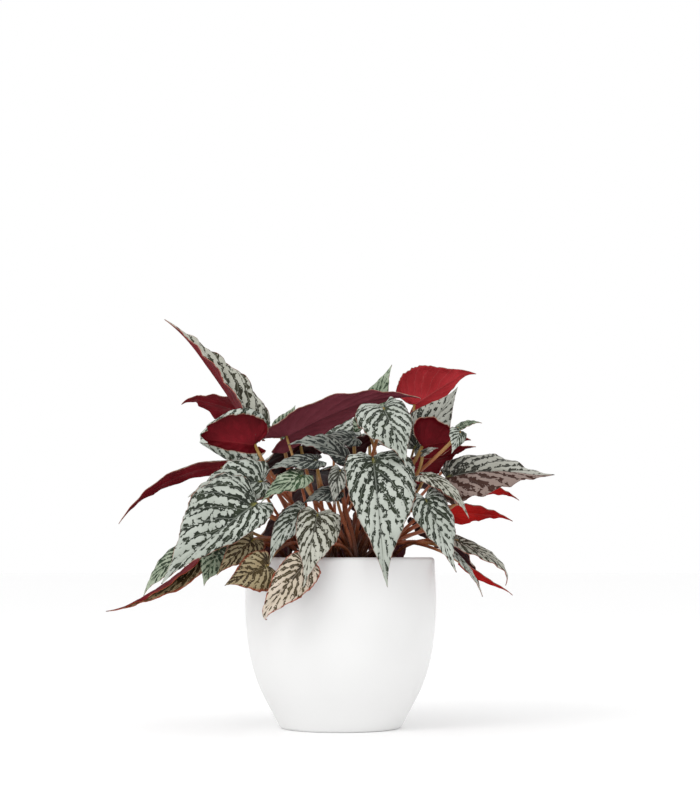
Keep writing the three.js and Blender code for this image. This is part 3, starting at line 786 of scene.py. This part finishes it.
def half_row(row, rib, share, sign, count, seed):
    """The points of one vein line, from the midrib to one edge."""
    start, along_edge, out_edge = vein_at(share)
    along_edge = max(along_edge, along_edge * row["lobe"])
    half_width = row["halves"][0] if sign > 0 else row["halves"][1]
    fold, curl = math.radians(row["fold"]), math.radians(row["curl"])
    roll, roll_start = math.radians(row["roll"][0]), row["roll"][1 if sign > 0 else 2]
    fade = min(1.0, out_edge * TAPER)
    sideways = upwards = 0.0
    points = []
    for place in range(count + 1):
        reach = place / count
        if place:
            middle = (place - 0.5) / count
            angle = fold + curl * middle * out_edge
            angle -= roll * min(max(middle - roll_start, 0) / ROLL_WIDTH, 1)
            sideways += math.cos(angle) * out_edge / count
            upwards += math.sin(angle) * out_edge / count

        # The same sum as in the leaf figure tells how far this point is from a vein.
        outward = reach ** VEIN_BEND
        inward = (1 - outward) / (1 - FAN_SHARE)
        from_rib = (share + FAN_SHARE * inward) / (outward + inward)
        veins = min(share / max(outward, LEAST_OUTWARD), from_rib) * VEIN_COUNT
        off_vein = abs(veins - round(veins))

        scallop = SCALLOP * (0.5 - 2 * off_vein)
        tooth = TOOTH * (abs(((share * TEETH + seed) % 1) - 0.5) * 2 - 0.5)
        wide = 1 + (scallop + tooth) * reach ** NOTCH_POWER
        ripple = math.sin(math.pi * RIPPLE_COUNT * start + reach * sign * RIPPLE_SLANT)
        lift = RIPPLE * reach * reach * out_edge * ripple
        puff = min(off_vein * PUFF_FLANK, 1.0) ** PUFF_ROUND - PUFF_SINK
        lift += PUFF * fade * min(1.0, reach * PUFF_SPREAD) * puff
        lift -= PUFF * RIB_DEPTH * math.exp(-(reach / RIB_WIDTH) ** 2) * fade
        wave = math.sin(share * WAVE_COUNT + seed * WAVE_SHIFT + sign)
        lift += BORDER_WAVE * wave * reach ** WAVE_POWER * fade
        point, normal, side = rib(start + reach * (along_edge - start))
        point = point + side * sign * sideways * wide * half_width
        points.append(point + normal * (upwards + lift) * half_width)
    return points


print("teeth on a half:", TEETH)

# %% [markdown]
# Every blade starts as a flat grid from `create_grid`, which also lays out the `vein` map. Each
# corner of the grid is then moved to its place on the bent leaf. A Solidify modifier gives the
# sheet its thickness and puts the red material on the underside. Big leaves get more rows, so
# that the teeth stay crisp. A drawn number shifts the teeth and waves from leaf to leaf.

# %% Making the blades
BLADE_THICKNESS = 0.55 * MM
ROWS_PER_MM = 0.95
MIN_ROWS, MAX_ROWS = 40, 104
SMALL_HALF_WIDTH, SMALL_COLUMNS, BIG_COLUMNS = 15, 8, 12
LEAF_SEED = 7


def make_blade(name, row, seed):
    rib = midrib(row)
    length = (row["tip"] - row["base"]).length
    rows = int(min(max(length * ROWS_PER_MM, MIN_ROWS), MAX_ROWS))
    half = SMALL_COLUMNS if max(row["halves"]) < SMALL_HALF_WIDTH else BIG_COLUMNS
    bm = bmesh.new()
    bm.loops.layers.uv.new("vein")
    bmesh.ops.create_grid(bm, x_segments=2 * half, y_segments=rows, size=1, calc_uvs=True)
    lines = {}
    for vert in bm.verts:
        level = round((vert.co.y + 1) / 2 * rows)
        place = round(-vert.co.x * half)
        key = (level, 1 if place >= 0 else -1)
        if key not in lines:
            lines[key] = half_row(row, rib, level / rows, key[1], half, seed)
        vert.co = lines[key][abs(place)] * MM
    materials = [worn_by(name, FACES, PLAIN_FACE), worn_by(name, BACKS, PLAIN_BACK)]
    piece = make_piece("blade_" + name, bm, "leaf_" + name, "leaf", materials)
    sheet = piece.modifiers.new("thickness", "SOLIDIFY")
    sheet.thickness = BLADE_THICKNESS
    sheet.offset = 0
    sheet.use_even_offset = False
    sheet.material_offset = 1
    sheet.material_offset_rim = 0


leaf_random = random.Random(LEAF_SEED)
for name, row in LEAVES.items():
    make_blade(name, row, leaf_random.random())
print("blades made:", len(LEAVES))

# %% [markdown]
# The stalks are thin, juicy rods. They leave four short arms of a creeping rhizome that lies
# half sunk in the soil, rise steeply out of the pot, and lean over near their ends so that they
# come up behind their blades. Each one follows the same cubic curve as in the frame, but runs
# right up to its blade, as a real stalk grows into it.

# %% Where each stalk runs
SOIL_TOP, SOIL_CROWN = 112, 3
RHIZOME_RADIUS, RHIZOME_ARMS, RHIZOME_REACH, RHIZOME_TURN = 7, 4, 40, 20
RHIZOME_HEIGHT = SOIL_TOP + SOIL_CROWN - RHIZOME_RADIUS / 2
GOLDEN_STEP, STALK_ROOT_START = 0.618, 0.25
STALK_RISE, STALK_RISE_LEAN = 0.45, 0.1
STALK_LEAD, STALK_LEAD_BEND = 0.35, 0.9
RIM_HEIGHT, RIM_RISE, RIM_ROOM = 124, 13, 18


def stalk_line(row, number, count):
    """Points along the middle of a stalk, from the rhizome to the blade, in millimetres."""
    join = row["base"]
    under = midrib(row)(0.0)[1]
    arm_turn = 360 / RHIZOME_ARMS
    direction = math.degrees(math.atan2(join.y, join.x)) - RHIZOME_TURN
    arm = math.radians(round(direction / arm_turn) * arm_turn + RHIZOME_TURN)
    spread = STALK_ROOT_START + (1 - STALK_ROOT_START) * ((number * GOLDEN_STEP) % 1)
    root = polar(RHIZOME_REACH * spread, arm, RHIZOME_HEIGHT)
    way = join - root
    lean = STALK_RISE_LEAN
    rise = root + Vector((way.x * lean, way.y * lean, way.length * STALK_RISE))
    rise.z = max(rise.z, RIM_HEIGHT + RIM_ROOM)
    arrival = (way.normalized() + under * STALK_LEAD_BEND).normalized()
    lead = join - arrival * way.length * STALK_LEAD
    if join.z < RIM_HEIGHT + RIM_ROOM:
        lead.z = max(lead.z, RIM_HEIGHT + RIM_RISE)
    return [on_cubic(root, rise, lead, join, place / count) for place in range(count + 1)]


print("first stalk:", [tuple(round(x) for x in point) for point in stalk_line(LEAVES["tall_left"], 0, 3)])

# %% [markdown]
# A rod is a circle that `extrude_face_region` pushes from one point of its line to the next,
# turned so that it always stands square to the line. Each ring also notes how far along the rod
# it is, and the colour uses that number: nearly black brown at the soil, which is the stalk's own
# brown with painted shade, redder above, olive at the blade.

# %% A helper that sweeps a rod
def sweep_rod(bm, line, radii, sides, layer):
    last = len(line) - 1
    ways = [(line[min(i + 1, last)] - line[max(i - 1, 0)]).normalized() for i in range(len(line))]
    turn = ways[0].to_track_quat("Z", "Y")
    ring = bmesh.ops.create_circle(bm, cap_ends=True, radius=1, segments=sides)["verts"]
    face = ring[0].link_faces[0]
    placed = Matrix.Identity(4)
    for number, point in enumerate(line):
        if number:
            turn = ways[number - 1].rotation_difference(ways[number]) @ turn
            grown = bmesh.ops.extrude_face_region(bm, geom=[face])["geom"]
            ring = [item for item in grown if isinstance(item, bmesh.types.BMVert)]
            face = next(item for item in grown if isinstance(item, bmesh.types.BMFace))
        target = Matrix.LocRotScale(point, turn, Vector.Fill(3, radii[number]))
        bmesh.ops.transform(bm, matrix=target @ placed.inverted(), verts=ring)
        placed = target
        for vert in ring:
            vert[layer] = number / last


print("helper:", sweep_rod.__name__)

# %% [markdown]
# The stalks' skin is thin and a little glossy, with pale freckles. It takes its colour from the
# number that the rings carry, so the red stretches with the length of each stalk. The hairs that
# stand off it need no pattern.

# %% Skin of the stalks
# The colour at the soil end is the stalk's own brown, darkened to nearly black as painted shade.
SHADED_FOOT_BROWN, STALK_RED = (0.035, 0.009, 0.005), (0.36, 0.09, 0.03)
STALK_OLIVE, FRECKLE = (0.33, 0.20, 0.05), (0.42, 0.25, 0.12)
HAIR_COLOUR = (0.55, 0.36, 0.26)

skin, tree, shader, place = start_material("stalk_skin")
along_stalk = add_node(tree, "ShaderNodeAttribute", {"attribute_name": "reach"}).outputs["Fac"]
red_part = mix_colours(tree, step(tree, along_stalk, 0.05, 0.5), SHADED_FOOT_BROWN, STALK_RED)
skin_colour = mix_colours(tree, step(tree, along_stalk, 0.62, 1.0), red_part, STALK_OLIVE)
freckles = step(tree, noise_value(tree, place, scale=1100.0), 0.58, 0.72)
freckled = mix_colours(tree, maths(tree, "MULTIPLY", freckles, 0.5), skin_colour, FRECKLE)
tree.links.new(freckled, shader.inputs["Base Color"])
shader.inputs["Roughness"].default_value = 0.42
add_bump(tree, shader, noise_value(tree, place, scale=1300.0), strength=0.4, distance=0.0003)
hair_skin = plain_material("hair", HAIR_COLOUR, 0.6)
print("stalk materials:", skin.name, hair_skin.name)

# %% [markdown]
# All stalks and the rhizome become one mesh, since they are one growth. A stalk is a little
# thicker at its foot, and no two are equally stout. An arm of the rhizome is a thick rod with
# shallow swellings, which ends in a dome.

# %% Stalks and rhizome
STALK_RADIUS, STALK_RINGS, STALK_SIDES = 1.5, 18, 10
LEAST_STOUT, STOUT_RANGE, STOUT_STEP = 0.75, 0.35, 3
FOOT_WIDTH, STALK_NARROWING = 1.12, 0.3
ARM_RINGS, ARM_SIDES = 12, 16
ARM_FIT, SWELLING, SWELLING_STEP, DOME_END = 0.96, 0.05, 3, 0.01

stalk_bm = bmesh.new()
reach_layer = stalk_bm.verts.layers.float.new("reach")
stalk_lines = []
for number, row in enumerate(LEAVES.values()):
    line = [point * MM for point in stalk_line(row, number, STALK_RINGS)]
    stout = LEAST_STOUT + STOUT_RANGE * ((number * GOLDEN_STEP * STOUT_STEP) % 1)
    radii = [STALK_RADIUS * MM * stout * (FOOT_WIDTH - STALK_NARROWING * ring / STALK_RINGS)
             for ring in range(STALK_RINGS + 1)]
    sweep_rod(stalk_bm, line, radii, STALK_SIDES, reach_layer)
    stalk_lines.append(line)
for number in range(RHIZOME_ARMS):
    turn = math.radians(RHIZOME_TURN + number * 360 / RHIZOME_ARMS)
    line, radii = [], []
    for ring in range(ARM_RINGS + 1):
        reach = (RHIZOME_REACH + RHIZOME_RADIUS) * ring / ARM_RINGS
        line.append(polar(reach, turn, RHIZOME_HEIGHT) * MM)
        over = max(reach - RHIZOME_REACH, 0) / RHIZOME_RADIUS
        radius = RHIZOME_RADIUS * math.sqrt(max(1 - over * over, DOME_END))
        radii.append(radius * (1 + SWELLING * math.cos(ring * SWELLING_STEP)) * ARM_FIT * MM)
    sweep_rod(stalk_bm, line, radii, ARM_SIDES, reach_layer)
print("rods swept:", len(stalk_lines) + RHIZOME_ARMS)

# %% [markdown]
# Rex begonias are hairy: short pale hairs stand off every stalk. Particle hair would not reach
# the exported mesh, so each hair is a slim cone with three sides, set on the stalk's skin and
# leaning a little up or down.

# %% Hairs
HAIRS_PER_STALK, HAIR_SEED = 46, 11
HAIR_START, HAIR_END, HAIR_LEAN = 0.3, 0.98, 0.3
HAIR_LENGTH, LEAST_HAIR, HAIR_RADIUS = 1.3, 0.5, 0.05
HAIR_TIP, HAIR_SINK = 0.2, 0.9


def give_material(verts, index):
    for face in {face for vert in verts for face in vert.link_faces}:
        face.material_index = index


hair_random = random.Random(HAIR_SEED)
for line in stalk_lines:
    for _ in range(HAIRS_PER_STALK):
        t = hair_random.uniform(HAIR_START, HAIR_END) * (len(line) - 1)
        place = int(t)
        middle = line[place].lerp(line[place + 1], t - place)
        way = (line[place + 1] - line[place]).normalized()
        spoke = Vector([hair_random.uniform(-1, 1) for _ in range(3)])
        out = (spoke - way * spoke.dot(way)).normalized()
        lean = (out + way * hair_random.uniform(-HAIR_LEAN, HAIR_LEAN)).normalized()
        foot = middle + out * STALK_RADIUS * HAIR_SINK * MM
        length = HAIR_LENGTH * hair_random.uniform(LEAST_HAIR, 1.0) * MM
        turn = lean.to_track_quat("Z", "Y")
        stand = Matrix.LocRotScale(foot + lean * length / 2, turn, Vector((1, 1, 1)))
        hair = bmesh.ops.create_cone(stalk_bm, cap_ends=True, segments=3, radius1=HAIR_RADIUS * MM,
                                     radius2=HAIR_RADIUS * HAIR_TIP * MM, depth=length, matrix=stand)
        give_material(hair["verts"], 1)
bmesh.ops.recalc_face_normals(stalk_bm, faces=stalk_bm.faces[:])
print("stalk faces:", len(stalk_bm.faces))
make_piece("stalk_fan", stalk_bm, "stalks", "stalk", [skin, hair_skin])

# %% [markdown]
# The soil fills the pot and the pot surrounds it, so one outline serves both. It has six points
# on a smooth curve, and `spin` turns a profile made from it once round the pot's axis.

# %% The pot's outline
POT_FLOOR, POT_WALL = 6, 4.5
POT_OUTLINE = [(44, 0), (51, 13), (60.5, 32), (67, 55), (70.2, 87), (69.2, 121)]
OUTLINE_STEPS = 40


def spin_profile(bm, profile, sides):
    """Turns a profile of (radius, height) in millimetres once round the axis."""
    verts = [bm.verts.new((radius * MM, 0, height * MM)) for radius, height in profile]
    edges = [bm.edges.new(pair) for pair in zip(verts, verts[1:])]
    bmesh.ops.spin(bm, geom=verts + edges, cent=(0, 0, 0), axis=(0, 0, 1), angle=2 * math.pi,
                   steps=sides, use_merge=True)
    bmesh.ops.remove_doubles(bm, verts=bm.verts[:], dist=1e-6)
    bmesh.ops.recalc_face_normals(bm, faces=bm.faces[:])


outline = []
for number in range(OUTLINE_STEPS + 1):
    outline.append(between_rows(POT_OUTLINE, (len(POT_OUTLINE) - 1) * number / OUTLINE_STEPS))
print("widest radius:", round(max(radius for radius, height in outline), 1), "mm")

# %% [markdown]
# The soil is a dark peat mix. Its bed is a spun profile that lies a hair inside the pot's wall,
# pushed about by noise on the top only, because the rest never shows.

# %% The soil bed
SOIL_GAP, BED_RINGS, BED_SIDES = 0.3, 12, 72
SHOULDER, TOP_BAND, TOP_INSET = 1, 0.5, 1
LUMP_SCALE, LUMP_HEIGHT, LUMP_SINK = 160, 1.6, 0.6

bed_wall = [(radius - POT_WALL - SOIL_GAP, height) for radius, height in outline
            if POT_FLOOR + POT_WALL < height < SOIL_TOP - SHOULDER]
edge_radius = bed_wall[-1][0]
bed_floor = POT_FLOOR + SOIL_GAP
bed = [(0, bed_floor), (bed_wall[0][0] - POT_WALL, bed_floor)] + bed_wall
for ring in range(BED_RINGS + 1):
    share = 1 - ring / BED_RINGS
    bed.append((edge_radius * share, SOIL_TOP + SOIL_CROWN * (1 - share ** 2)))
soil_bm = bmesh.new()
spin_profile(soil_bm, bed, BED_SIDES)
for vert in soil_bm.verts:
    on_top = vert.co.z > (SOIL_TOP - TOP_BAND) * MM
    if on_top and math.hypot(vert.co.x, vert.co.y) < (edge_radius - TOP_INSET) * MM:
        vert.co.z += LUMP_HEIGHT * MM * noise.noise(vert.co * LUMP_SCALE) - LUMP_SINK * MM
print("soil bed faces:", len(soil_bm.faces))

# %% [markdown]
# Crumbs of peat are strewn over the bed, some of them pale like perlite. Each is a small sphere
# of 80 faces, squashed, tilted and dented by noise. Hundreds of such crumbs cost little.

# %% Crumbs
CRUMBS, PERLITE_SHARE, CRUMB_SEED = 620, 0.12, 3
MIN_CRUMB, MAX_CRUMB, FLATTEST = 0.7, 2.4, 0.6
EDGE_ROOM, CRUMB_SINK, CRUMB_RISE = 3, 0.6, 0.25
DENT_SCALE, DENT = 900, 0.6

soil_random = random.Random(CRUMB_SEED)
for _ in range(CRUMBS):
    turn = soil_random.uniform(0, 2 * math.pi)
    reach = (edge_radius - EDGE_ROOM) * math.sqrt(soil_random.uniform(0, 1))
    size = soil_random.uniform(MIN_CRUMB, MAX_CRUMB)
    height = SOIL_TOP + SOIL_CROWN * (1 - (reach / edge_radius) ** 2) - CRUMB_SINK + size * CRUMB_RISE
    spot = polar(reach, turn, height) * MM
    tilt = Quaternion([soil_random.uniform(-1, 1) for _ in range(4)]).normalized()
    scale = Vector([size * soil_random.uniform(FLATTEST, 1.0) * MM for _ in range(3)])
    lump = bmesh.ops.create_icosphere(soil_bm, subdivisions=1, radius=1,
                                      matrix=Matrix.LocRotScale(spot, tilt, scale))
    for vert in lump["verts"]:
        vert.co += (vert.co - spot) * noise.noise(vert.co * DENT_SCALE) * DENT
    give_material(lump["verts"], int(soil_random.random() < PERLITE_SHARE))
print("soil faces:", len(soil_bm.faces))

# %% [markdown]
# Damp peat is nearly black and quite matte, so its look is in the bump. Perlite is a blown white
# glass with a dry surface.

# %% Peat and perlite
PEAT_DARK, PEAT_LIGHT, PERLITE_WHITE = (0.018, 0.010, 0.006), (0.07, 0.04, 0.022), (0.55, 0.52, 0.47)

peat, tree, shader, place = start_material("peat")
peat_mix = step(tree, noise_value(tree, place, scale=420.0, detail=4.0, roughness=0.7), 0.35, 0.65)
tree.links.new(mix_colours(tree, peat_mix, PEAT_DARK, PEAT_LIGHT), shader.inputs["Base Color"])
shader.inputs["Roughness"].default_value = 0.95
dry_grains = noise_value(tree, place, scale=1400.0, detail=4.0, roughness=0.7)
add_bump(tree, shader, dry_grains, strength=0.9, distance=0.0009)
perlite = plain_material("perlite", PERLITE_WHITE, 0.9)
make_piece("soil_bed", soil_bm, "soil", "soil", [peat, perlite])
print("soil materials:", peat.name, perlite.name)

# %% [markdown]
# The pot is thrown or slip-cast white ware. One profile runs up the outside, over the rounded
# rim, down the inside and across the floor, and is spun once round. That way its wall has a real
# thickness, which shows at the rim.

# %% The pot
POT_SIDES, RIM_STEPS = 128, 8
FOOT_INSET, FOOT_BEVEL, FOOT_LIFT, WALL_START = 1.2, 0.3, 0.25, 0.6

inner_wall = [(radius - POT_WALL, height) for radius, height in outline if height > POT_FLOOR + POT_WALL]
rim_radius, rim_start = outline[-1][0] - POT_WALL / 2, outline[-1][1]
rim = []
for number in range(1, RIM_STEPS):
    turn = math.pi * number / RIM_STEPS
    rim.append((rim_radius + math.cos(turn) * POT_WALL / 2,
                rim_start + math.sin(turn) * (RIM_HEIGHT - rim_start)))
foot_radius = POT_OUTLINE[0][0]
foot = [(0, 0), (foot_radius - FOOT_INSET, 0), (foot_radius - FOOT_BEVEL, FOOT_LIFT)]
outer_wall = [(radius, height) for radius, height in outline if height > WALL_START]
floor_line = [(inner_wall[0][0] - POT_WALL, POT_FLOOR), (0, POT_FLOOR)]
pot_bm = bmesh.new()
spin_profile(pot_bm, foot + outer_wall + rim + inner_wall[::-1] + floor_line, POT_SIDES)
print("pot faces:", len(pot_bm.faces))

# %% [markdown]
# The glaze is a clear satin coat: a rough white body under a thinner, smoother layer. A very weak
# wave in the surface keeps its highlights from looking drawn with a ruler.

# %% The glaze
GLAZE_WHITE, GLAZE_LIGHT = (0.78, 0.78, 0.775), (0.81, 0.81, 0.805)

glaze, tree, shader, place = start_material("white_glaze")
cloud = step(tree, noise_value(tree, place, scale=14.0), 0.3, 0.7)
tree.links.new(mix_colours(tree, cloud, GLAZE_WHITE, GLAZE_LIGHT), shader.inputs["Base Color"])
shader.inputs["Roughness"].default_value = 0.5
shader.inputs["Coat Weight"].default_value = 0.5
shader.inputs["Coat Roughness"].default_value = 0.22
add_bump(tree, shader, noise_value(tree, place, scale=30.0), strength=0.25, distance=0.0006)
make_piece("pot_body", pot_bm, "pot", "pot_glaze", [glaze])
print("pot material:", glaze.name)
